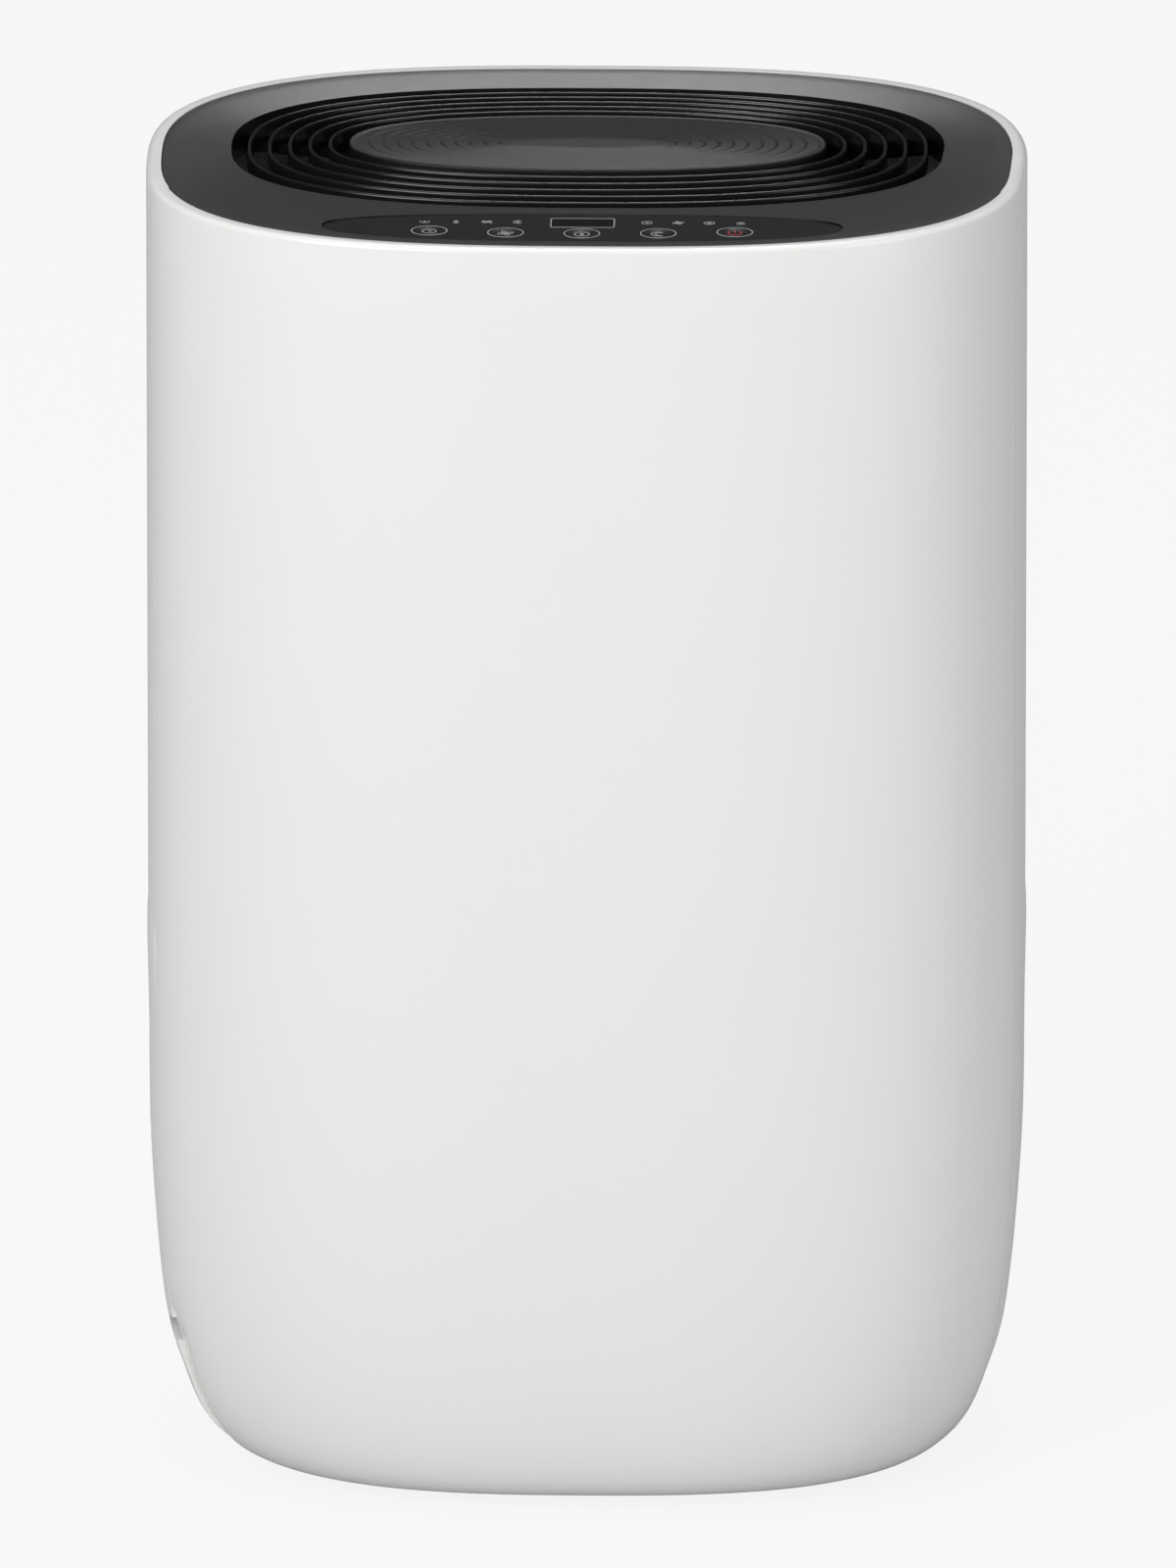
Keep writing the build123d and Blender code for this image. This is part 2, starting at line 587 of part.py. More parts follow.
def compressor():
    """The sealed can with domed ends, its foot plate, rubber feet and terminal cover."""
    x, y = COMPRESSOR_X, COMPRESSOR_Y
    bottom = COMPRESSOR_FOOT + 3
    can = rod(COMPRESSOR_RADIUS, COMPRESSOR_TOP - bottom, (x, y, bottom), (0, 0, 1))
    can = fillet(can.edges().filter_by(GeomType.CIRCLE), 20)
    plate = Pos(x, y, COMPRESSOR_FOOT) * Rot(0, 0, 180) * extrude(RegularPolygon(54, 3), amount=3)
    plate = fillet(plate.edges().filter_by(Axis.Z), 10)
    feet = []
    for i in range(3):
        angle = math.radians(120 * i + 180)
        cx = x + 32 * math.cos(angle)
        cy = y + 32 * math.sin(angle)
        feet.append(rod(8, COMPRESSOR_FOOT - TRAY_FLOOR_TOP, (cx, cy, TRAY_FLOOR_TOP), (0, 0, 1)))
    side = y - COMPRESSOR_RADIUS
    cover = block(x - 14, x + 14, side - 12, side + 8, 150, 180)
    cover = cover - rod(COMPRESSOR_RADIUS + 0.2, 300, (x, y, 0), (0, 0, 1))
    return {
        "compressor": can,
        "compressor_foot_plate": plate,
        "compressor_feet": Part() + feet,
        "terminal_cover": cover,
    }


def base_tray():
    """The chassis floor inside the casing, with a low skirt, open at the tank's side."""
    slab = block(-REACH, REACH, -REACH, REACH, TRAY_FLOOR_BOTTOM, 27)
    room = block(-REACH, REACH, -REACH, REACH, TRAY_FLOOR_TOP, 40)
    tray = pebble(WALL + GAP, DRAW_IN_TOP + 5) & slab
    tray = tray - (pebble(WALL + GAP + 2, DRAW_IN_TOP + 5) & room)
    bay = block(-REACH, TANK_INNER_X + 3, SEAM_Y - 1, TANK_BACK + 2, TRAY_FLOOR_TOP, 60)
    face_room = block(-REACH, TANK_FACE_X + 6, SEAM_Y - 1, TANK_BACK + 2, 0, 60)
    return tray - bay - face_room - screw_holes(SCREW_RADIUS + 0.05)


def bay_walls():
    """The shelf above the tank and the wall between tank and compressor."""
    room = pebble(WALL + GAP, DRAW_IN_TOP + 5)
    shelf = room & block(-REACH, REACH, -REACH, REACH, SHELF_Z, SHELF_Z + SHELF_THICK)
    below = SHELF_Z - 10
    shelf = shelf - rod(COMPRESSOR_RADIUS + 5, 40, (COMPRESSOR_X, COMPRESSOR_Y, below), (0, 0, 1))
    shelf = shelf - rod(7, 20, (DRIP_X, DRIP_Y, below), (0, 0, 1))
    wall = block(TANK_INNER_X + 6, TANK_INNER_X + 8, SEAM_Y + 4, 80, TRAY_FLOOR_TOP, SHELF_Z)
    wall = wall & room
    return shelf, wall


def drip_tray():
    """The tray that catches the coil's water, its down spout, and the rear hose nozzle."""
    x0, x1 = -COIL_HALF_X - 8, COIL_HALF_X + 8
    y0, y1 = BULKHEAD_BACK, 88.0
    z0, z1 = 146.0, COIL_LOW
    tray = block(x0, x1, y0, y1, z0, z1)
    tray = tray - block(x0 + 12, x1 - 12, y0 + 2, y1 - 2, z0 + 2, z1 + 5)
    spout = rod(6, z0 - TANK_TOP - 3, (DRIP_X, DRIP_Y, TANK_TOP + 3), (0, 0, 1))
    tray = tray + spout - rod(4, 60, (DRIP_X, DRIP_Y, TANK_TOP - 10), (0, 0, 1))
    tray = tray - rod(DRAIN_BORE, 20, (DRAIN_X, y1 - 10, DRAIN_Z), (0, 1, 0))
    return tray


def drain_nozzle():
    """The hose nozzle in its round pocket at the rear."""
    back = 111.0
    front = 88.2
    cup = rod(DRAIN_POCKET - 0.3, 21, (DRAIN_X, front + 2, DRAIN_Z), (0, 1, 0))
    cup = cup - rod(DRAIN_POCKET - 2, 40, (DRAIN_X, front + 4, DRAIN_Z), (0, 1, 0))
    pipe = rod(DRAIN_RADIUS, back - front, (DRAIN_X, front, DRAIN_Z), (0, 1, 0))
    return cup + pipe - rod(DRAIN_BORE, 60, (DRAIN_X, front - 5, DRAIN_Z), (0, 1, 0))


def handle_cup():
    """The moulded pocket that the fingers go into, behind the opening in the rear moulding."""
    whole = handle_prism(-GAP, HANDLE_DEEP_Y, 130) & pebble(WALL + 0.1, HEIGHT - 20)
    return whole - handle_prism(-GAP - 2, HANDLE_DEEP_Y + 2, 130)


def cord_inlet():
    """The gland that the supply cord passes through, without the cord."""
    y_wall = wall_y(CORD_X, CORD_Z)
    back = y_wall - 0.5
    body = rod(CORD_COLLAR - 2.3, 9, (CORD_X, back - 9, CORD_Z), (0, 1, 0))
    flange = rod(CORD_COLLAR + 2, 3, (CORD_X, back - 12, CORD_Z), (0, 1, 0))
    return body + flange - rod(CORD_BORE, 40, (CORD_X, back - 30, CORD_Z), (0, 1, 0))


def half_axes(z):
    """The casing's half width and half depth at height z."""
    fall = max(0.0, (DRAW_IN_TOP - z) / (DRAW_IN_TOP - UNDERSIDE))
    narrowing = 1 - (1 - min(1.0, fall) ** DRAW_IN_POWER) ** (1 / DRAW_IN_POWER)
    return HALF_W - DRAW_IN_X * narrowing, HALF_D - DRAW_IN_Y * narrowing


def wall_y(x, z):
    """The depth of the casing's rear surface at x and z."""
    a, b = half_axes(z)
    return b * (1 - abs(x / a) ** PLAN_POWER) ** (1 / PLAN_POWER)


def feet():
    """Pads and the round middle foot under the casing."""

    def pad(x, y, turn, length, width):
        shape = Pos(x, y, 0) * Rot(0, 0, turn) * RectangleRounded(length, width, 2)
        return extrude(shape, amount=UNDERSIDE)

    pads = [pad(side * PAD_X, -58, side * 14, 20, 12) for side in (-1, 1)]
    pads += [pad(side * REAR_PAD_X, 44, side * -14, 24, 14) for side in (-1, 1)]
    middle = rod(11, UNDERSIDE, (0, -62, 0), (0, 0, 1))
    middle = fillet(middle.edges().group_by(Axis.Z)[0], 1.5)
    return {"corner_pads": Part() + pads, "middle_foot": middle}


def base_screws():
    """Screws from below, through the casing's floor into the tray."""
    screws = []
    for x, y in SCREW_PLACES:
        head = rod(3.6, 1.8, (x, y, UNDERSIDE - 1.9), (0, 0, 1))
        screws.append(head + rod(SCREW_RADIUS, 7, (x, y, UNDERSIDE - 1), (0, 0, 1)))
    return Part() + screws


def pipe(points, radius, bends):
    """A tube along straight runs joined by tangent arcs."""
    path = FilletPolyline(*points, radius=bends)
    start = path.edges()[0]
    section = Plane(origin=start @ 0, z_dir=start % 0) * Circle(radius)
    return sweep(section, path=path)


def refrigerant_pipes():
    """Suction and discharge pipes, and the liquid line with its drier and capillary."""
    x, y, top = COMPRESSOR_X, COMPRESSOR_Y, COMPRESSOR_TOP + 0.2
    rise = (COIL_HIGH - COIL_LOW) / TUBE_ROWS
    low, high = COIL_LOW + rise / 2, COIL_HIGH - rise / 2
    end = COIL_HALF_X + 4.2
    back, front = EVAPORATOR_FRONT + COIL_DEPTH / 2, CONDENSER_FRONT + COIL_DEPTH / 2
    side, drier_z = 129.5, 215.0
    suction = [
        (x + 18, y, top),
        (x + 18, y, 300),
        (side, y, 300),
        (side, back, 300),
        (side, back, high),
        (end, back, high),
    ]
    near = 121.5
    discharge = [
        (x + 8, 12, top),
        (x + 8, 12, 256),
        (near, 12, 256),
        (near, front, 256),
        (near, front, high),
        (end, front, high),
    ]
    turn = 134.0
    liquid = [(end, front, low), (turn, front, low), (turn, front, drier_z - 0.2)]
    capillary = [
        (turn, front, drier_z + 50.2),
        (turn, front, 284),
        (turn, back, 284),
        (turn, back, low),
        (end, back, low),
    ]
    drier = rod(8, 50, (turn, front, drier_z), (0, 0, 1))
    return {
        "suction_pipe": pipe(suction, 3.5, 10),
        "discharge_pipe": pipe(discharge, 2.5, 9),
        "liquid_pipe": pipe(liquid, 2.5, 8),
        "capillary_tube": pipe(capillary, 1.5, 8),
        "filter_drier": fillet(drier.edges().filter_by(GeomType.CIRCLE), 4),
    }


def electronics():
    """The power board in its open box, the run capacitor and the two sensors."""
    outer = block(-140, -86, -62, -30, SHELF_Z + SHELF_THICK, 400)
    box = outer - block(-138, -88, -63, -33, SHELF_Z + SHELF_THICK + 2, 398)
    board = block(-137, -89, -40, -38.4, 264, 396)
    parts = [
        block(-132, -112, -52, -40.1, 280, 300),
        block(-108, -94, -56, -40.1, 300, 322),
        block(-130, -104, -50, -40.1, 340, 362),
    ]
    capacitor = rod(17, 70, (-112, -8, SHELF_Z + SHELF_THICK), (0, 0, 1))
    capacitor = fillet(capacitor.edges().filter_by(GeomType.CIRCLE), 3)
    sensor = block(-90, -76, BULKHEAD_BACK, BULKHEAD_BACK + 4, 440, 460)
    switch = block(TANK_INNER_X + 1.2, TANK_INNER_X + 6, 58, 78, 92, 104)
    return {
        "electronics_box": box,
        "power_board": board,
        "board_components": Part() + parts,
        "run_capacitor": capacitor,
        "humidity_sensor": sensor,
        "tank_switch": switch,
    }


def build():
    """Every node's solids, by the node's name."""
    nodes = {}
    whole = casing()
    nodes["front_shell"], nodes["rear_shell"] = shells(whole)
    nodes["top_cover"] = top_cover()
    nodes["outlet_slats"] = outlet_slats()
    nodes["outlet_spider"] = outlet_spider()
    nodes["outlet_disc"] = outlet_disc()
    nodes["control_panel"] = control_panel()
    nodes.update(panel_pieces())
    nodes.update(inlet_pieces(whole))
    nodes.update(water_tank())
    nodes["evaporator_fins"], nodes["evaporator_tube"] = coil(EVAPORATOR_FRONT)
    nodes["condenser_fins"], nodes["condenser_tube"] = coil(CONDENSER_FRONT)
    nodes["fan_scroll"] = fan_scroll()
    nodes["fan_wheel"], nodes["fan_shaft"] = impeller()
    nodes["fan_motor"] = fan_motor()
    nodes["bulkhead"] = bulkhead()
    nodes.update(compressor())
    nodes.update(refrigerant_pipes())
    nodes["base_tray"] = base_tray()
    nodes["tank_shelf"], nodes["bay_wall"] = bay_walls()
    nodes["drip_tray"] = drip_tray()
    nodes["drain_nozzle"] = drain_nozzle()
    nodes["handle_cup"] = handle_cup()
    nodes["cord_inlet"] = cord_inlet()
    nodes.update(electronics())
    nodes.update(feet())
    nodes["base_screws"] = base_screws()
    return nodes


if __name__ == "__main__":
    os.makedirs("parts", exist_ok=True)
    for name, shape in build().items():
        export_step(Part() + shape, f"parts/{name}.step")
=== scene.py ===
"""A tower dehumidifier: smooth surfaces, finishes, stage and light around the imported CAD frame."""

import json
import math

import bpy
import numpy as np
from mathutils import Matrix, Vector


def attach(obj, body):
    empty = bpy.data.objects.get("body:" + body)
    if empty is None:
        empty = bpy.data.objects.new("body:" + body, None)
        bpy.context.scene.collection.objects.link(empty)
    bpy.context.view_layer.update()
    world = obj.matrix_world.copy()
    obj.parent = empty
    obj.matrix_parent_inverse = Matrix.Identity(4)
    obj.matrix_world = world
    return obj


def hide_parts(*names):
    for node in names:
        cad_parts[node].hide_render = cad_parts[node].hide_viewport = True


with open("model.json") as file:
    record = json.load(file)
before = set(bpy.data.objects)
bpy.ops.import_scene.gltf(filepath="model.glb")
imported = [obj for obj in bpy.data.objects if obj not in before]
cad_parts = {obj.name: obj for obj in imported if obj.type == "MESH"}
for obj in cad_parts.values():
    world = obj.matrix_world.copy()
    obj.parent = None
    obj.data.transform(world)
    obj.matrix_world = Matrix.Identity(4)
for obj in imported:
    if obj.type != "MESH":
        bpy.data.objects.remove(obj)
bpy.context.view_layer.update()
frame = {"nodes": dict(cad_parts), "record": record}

bl_info = {
    "name": "Tower Dehumidifier",
    "version": (1, 0, 0),
    "blender": (4, 5, 0),
    "location": "3D View > Sidebar > Dehumidifier",
    "description": "Casing, outlet, control panel, tank and studio for a tower dehumidifier",
    "category": "Object",
}

MM = 0.001

# Casing envelope in millimetres, the same curves as the CAD model's.
HALF_W, HALF_D, HEIGHT = 165.0, 118.0, 503.0
PLAN_POWER = 2.75
DRAW_IN_TOP, UNDERSIDE = 215.0, 5.0
DRAW_IN_X, DRAW_IN_Y, DRAW_IN_POWER = 52.0, 30.0, 3.5
SEAM_Y = -42.0
WALL = 2.6
RIM_WIDTH, RIM_ROUND, RIM_INNER_ROUND = 5.6, 2.0, 0.6
SCOOP_REACH, SCOOP_TOP, SCOOP_FADE = 15.0, 46.0, 15.0

# Outlet and control panel.
GRILLE_Y = 19.0
OPENING_X, OPENING_Y, OPENING_POWER = 133.7, 76.0, 2.55
DISC_X, DISC_Y, DISC_POWER = 89.6, 35.3, 2.3
INNER_X, INNER_Y = 28.5, 6.8
COVER_TOP = HEIGHT - 0.3
OPENING_Z = COVER_TOP - 2.2
LEDGE_Z = 494.0
SLAT_PITCH, SLAT_SHIFT = 7.6, 0.8
DISC_RISE, DISC_WALL, DISC_ROUND = 2.0, 1.6, 0.8
DISC_TOP = OPENING_Z + DISC_RISE
OVAL_COLUMNS = 256
PANEL_FRONT_Y = -112.0
PANEL_SLOPE = math.atan2(COVER_TOP - OPENING_Z, GRILLE_Y - OPENING_Y - PANEL_FRONT_Y)
KEY_PITCH, KEY_V, KEY_ARC = 28.5, 18.4, 540.0
KEY_RADIUS, KEY_ROUND, KEY_DEPTH, KEY_DISH = 6.2, 0.5, 5.5, 0.35
DISPLAY_V, DISPLAY_SIZE, DISPLAY_MARGIN = 33.5, (22.9, 12.0), 0.35
LAMP_V, LAMP_X = 34.3, (24.0, 35.7, 47.3, 59.0)
KEY_NAMES = ("timer_key", "mode_key", "humidity_key", "fan_speed_key", "power_key")
INK_LIFT, INK_THICK, ICON_SINK = 0.02, 0.05, -0.3

# Studio, in metres.
AIM = (0.0005, 0, 0.2557)
LENS_MM_PER_METRE = 61


# ---------------------------------------------------------------- numpy surfaces


def lame(power, angle):
    """The curve |u|^power + |v|^power = 1, as the point seen at each angle from its middle."""
    c, s = np.cos(angle), np.sin(angle)
    reach = (np.abs(c) ** power + np.abs(s) ** power) ** (-1 / power)
    return reach * c, reach * s


def grid_faces(rows, columns, closed):
    """Quads of a grid of points stored row by row; closed joins the last column to the first."""
    r = np.arange(rows - 1)[:, None]
    c = np.arange(columns if closed else columns - 1)[None, :]
    after = (c + 1) % columns
    quads = [r * columns + c, r * columns + after, (r + 1) * columns + after, (r + 1) * columns + c]
    return np.stack([np.broadcast_to(q, (rows - 1, c.size)) for q in quads], -1).reshape(-1, 4)


def put_mesh(name, points, faces, material, sharp_angle=None):
    """A mesh object in metres from points in millimetres and lists of corner numbers."""
    mesh = bpy.data.meshes.new(name)
    mesh.from_pydata((np.asarray(points) * MM).tolist(), [], [list(map(int, f)) for f in faces])
    mesh.materials.append(material)
    mesh.polygons.foreach_set("use_smooth", np.ones(len(mesh.polygons), bool))
    if sharp_angle is not None:
        mesh.set_sharp_from_angle(angle=math.radians(sharp_angle))
    mesh.update()
    piece = bpy.data.objects.new(name, mesh)
    bpy.context.scene.collection.objects.link(piece)
    return piece


def stacked_ovals(half_x, half_y, z, power, centre_y, columns):
    """Points of a stack of superellipses, one row each: (centre + half axis * lame(angle), z)."""
    angle = np.linspace(0, 2 * math.pi, columns, endpoint=False)
    rows = []
    for a, b, height, p, y0 in np.broadcast(half_x, half_y, z, power, centre_y):
        u, v = lame(p, angle)
        rows.append(np.stack([a * u, b * v + y0, np.full(columns, height)], -1))
    return np.concatenate(rows)


def loop_faces(rows, columns, close_rows=False, caps=False):
    """Quads of a stack of closed loops; close_rows joins last to first, caps closes both ends."""
    quads = grid_faces(rows + 1 if close_rows else rows, columns, True) % (rows * columns)
    faces = quads.tolist()
    if caps:
        faces.append(list(range(columns))[::-1])
        faces.append(list(range((rows - 1) * columns, rows * columns)))
    return faces


def rounded_corner(x0, y0, radius, start, end, steps=6):
    """Points of an arc about (x0, y0) between two angles in degrees."""
    t = np.radians(np.linspace(start, end, steps))
    return np.stack([x0 + radius * np.cos(t), y0 + radius * np.sin(t)], -1)


# ---------------------------------------------------------------- materials


def linear(hex_colour):
    """An sRGB hex colour as linear RGBA."""
    value = np.array([int(hex_colour[i : i + 2], 16) / 255 for i in (1, 3, 5)])
    low = value / 12.92
    high = ((value + 0.055) / 1.055) ** 2.4
    return (*np.where(value <= 0.04045, low, high).tolist(), 1.0)


def add(tree, kind, settings=None, links=None):
    """Adds a shader node, sets its attributes or sockets, and links its inputs to outputs."""
    node = tree.nodes.new(kind)
    for key, value in (settings or {}).items():
        if key in node.inputs.keys():
            node.inputs[key].default_value = value
        else:
            setattr(node, key, value)
    for socket, (source, output) in (links or {}).items():
        tree.links.new(source.outputs[output], node.inputs[socket])
    return node


def finish(
    name, colour, roughness, grain_mm, grain_height_mm, mottle=0.03, mottle_mm=12.0, **sockets
):
    """A moulded, painted or rolled finish: surface grain as bump, and a slow drift of tone.

    grain_mm is the width of one grain, mottle the share by which the tone drifts over mottle_mm.
    """
    material = bpy.data.materials.new(name)
    material.use_nodes = True
    tree = material.node_tree
    surface = tree.nodes["Principled BSDF"]
    surface.inputs["Roughness"].default_value = roughness
    for key, value in sockets.items():
        surface.inputs[key.replace("_", " ")].default_value = value
    place = add(tree, "ShaderNodeTexCoord")
    grain = add(
        tree,
        "ShaderNodeTexNoise",
        {"Scale": 1 / (grain_mm * MM), "Detail": 2.0},
        {"Vector": (place, "Object")},
    )
    bump = add(
        tree,
        "ShaderNodeBump",
        {"Strength": 1.0, "Distance": grain_height_mm * MM},
        {"Height": (grain, "Fac")},
    )
    drift = add(
        tree,
        "ShaderNodeTexNoise",
        {"Scale": 1 / (mottle_mm * MM), "Detail": 3.0},
        {"Vector": (place, "Object")},
    )
    base = linear(colour)
    dark = tuple(c * (1 - mottle) for c in base[:3]) + (1.0,)
    light = tuple(min(1.0, c * (1 + mottle)) for c in base[:3]) + (1.0,)
    tone = add(
        tree,
        "ShaderNodeMix",
        {"data_type": "RGBA"},
        {"Factor": (drift, "Fac")},
    )
    tone.inputs[6].default_value = dark
    tone.inputs[7].default_value = light
    tree.links.new(tone.outputs[2], surface.inputs["Base Color"])
    tree.links.new(bump.outputs["Normal"], surface.inputs["Normal"])
    material.diffuse_color = base
    return material


def make_finishes():
    """Every finish on the object, by the record's slot."""
    rows = (
        # Polished mould, so a clear gloss with a very faint orange peel.
        ("white_abs", "ABS, white, polish moulded", "#ECECEA", 0.24, 3.0, 0.004, 0.006, 60.0,
         {"Coat_Weight": 0.25, "Coat_Roughness": 0.12}),
        # Spark-eroded mould, so a fine even grit that scatters the light.
        ("black_abs", "ABS, black, spark textured", "#141517", 0.3, 0.6, 0.05, 0.2, 1.2,
         {"Specular_IOR_Level": 0.35}),
        # Polished mould, so a deep black with sharp highlights along its edges.
        ("gloss_black", "ABS, black, polish moulded", "#141416", 0.2, 2.0, 0.003, 0.05, 20.0, {}),
        # Clear plastic with a dark tint, so almost a mirror over near black.
        ("tinted_lens", "Acrylic, smoke tinted", "#0B0B0D", 0.08, 4.0, 0.001, 0.05, 20.0, {}),
        # Frosted, so a soft grey when unlit.
        ("lamp_diffuser", "Acrylic, light guide", "#3A3B3D", 0.3, 1.0, 0.002, 0.03, 12.0, {}),
        # Lacquer over woven glass, so a satin green with a slightly uneven tone.
        ("circuit_board", "Glass fibre board, solder masked", "#14532B", 0.45, 0.8, 0.01, 0.1, 4.0,
         {}),
        # Filled resin, so a dull dark grey.
        ("electronic_parts", "Epoxy, moulded component case", "#1B1B1E", 0.5, 0.5, 0.01, 0.03, 12.0,
         {}),
        # Unfilled, so milky, with a little light coming through.
        ("natural_pp", "Polypropylene, natural", "#E4E8E8", 0.42, 1.2, 0.01, 0.02, 30.0,
         {"Transmission_Weight": 0.35}),
        # Plain mould, so an even satin.
        ("grey_abs", "ABS, grey, plain moulded", "#6E7072", 0.48, 0.9, 0.02, 0.04, 25.0, {}),
        # Fine threads, so a dull, close-grained dark surface.
        ("filter_net", "Nylon net, woven", "#26272A", 0.7, 0.9, 0.12, 0.2, 1.2, {}),
        # Rolled foil, so bright, with a soft blur along it.
        ("fin_aluminium", "Aluminium, rolled fin", "#D4D7DA", 0.34, 0.6, 0.01, 0.06, 6.0,
         {"Metallic": 1.0}),
        # Drawn and handled, so warm, with patches of darker tarnish.
        ("copper", "Copper, drawn tube", "#C27B4E", 0.32, 1.0, 0.01, 0.12, 8.0, {"Metallic": 1.0}),
        # Sprayed and baked, so glossy, with a faint orange peel.
        ("black_enamel", "Enamel, black, sprayed on steel", "#101012", 0.26, 1.6, 0.02, 0.08, 15.0,
         {}),
        # Plated, so a cool grey with a fine spangle.
        ("zinc_steel", "Steel, zinc plated", "#B4B7BA", 0.36, 0.8, 0.01, 0.1, 5.0,
         {"Metallic": 1.0}),
        # Drawn, so smooth and bright.
        ("can_aluminium", "Aluminium, drawn can", "#CDD0D3", 0.3, 1.2, 0.01, 0.05, 8.0,
         {"Metallic": 1.0}),
        # Filled with carbon black, so matt, with a fine grain.
        ("rubber", "Rubber, moulded", "#1A1A1B", 0.75, 0.7, 0.05, 0.1, 5.0, {}),
    )
    return {slot: finish(*values, **sockets) for slot, *values, sockets in rows}


FINISHES = make_finishes()
# Thin printed ink, so flat and matt beside the glossy plastic.
INK = finish("Screen ink, light grey", "#B4B8BC", 0.5, 0.5, 0.004)
RED_INK = finish("Screen ink, red", "#D8342B", 0.5, 0.5, 0.004)


# ---------------------------------------------------------------- property groups


class CasingSizes(bpy.types.PropertyGroup):
    """Sizes of the white casing."""

    rim_round: bpy.props.FloatProperty(
        name="Rim rounding",
        description="Radius of the rim's outer edge",
        default=RIM_ROUND * MM,
        unit="LENGTH",
    )
    scoop_depth: bpy.props.FloatProperty(
        name="Scoop depth",
        description="Depth of the finger scoop",
        default=1.7 * MM,
        unit="LENGTH",
    )
    columns: bpy.props.IntProperty(
        name="Columns",
        description="Grid columns round the front moulding",
        default=220,
    )


class OutletSizes(bpy.types.PropertyGroup):
    """Sizes of the outlet."""

    slats: bpy.props.IntProperty(
        name="Slats",
        description="Number of oval slats",
        default=5,
    )
    slat_width: bpy.props.FloatProperty(
        name="Slat width",
        description="Thickness of one slat",
        default=1.6 * MM,
        unit="LENGTH",
    )
    grooves: bpy.props.IntProperty(
        name="Grooves",
        description="Number of fine grooves on the middle disc",
        default=11,
    )
    groove_depth: bpy.props.FloatProperty(
        name="Groove depth",
        description="Depth of a fine groove",
        default=0.28 * MM,
        unit="LENGTH",
    )


class PanelSizes(bpy.types.PropertyGroup):
    """Sizes of the control panel's printing."""

    ring_radius: bpy.props.FloatProperty(
        name="Key ring radius",
        description="Mean radius of the printed ring round a key",
        default=6.62 * MM,
        unit="LENGTH",
    )
    ink_width: bpy.props.FloatProperty(
        name="Line width",
        description="Width of a printed line",
        default=0.34 * MM,
        unit="LENGTH",
    )


class StudioSettings(bpy.types.PropertyGroup):
    """Light and camera."""

    elevation: bpy.props.FloatProperty(
        name="Elevation",
        description="Camera height above the horizon",
        default=math.radians(18.0),
        subtype="ANGLE",
    )
    azimuth: bpy.props.FloatProperty(
        name="Azimuth",
        description="Camera turn towards the right side",
        default=math.radians(1.1),
        subtype="ANGLE",
    )
    distance: bpy.props.FloatProperty(
        name="Distance",
        description="Camera distance",
        default=18.0,
        unit="LENGTH",
    )
    key_power: bpy.props.FloatProperty(
        name="Key light",
        description="Power of the key light in watts",
        default=66.0,
    )


# ---------------------------------------------------------------- pieces


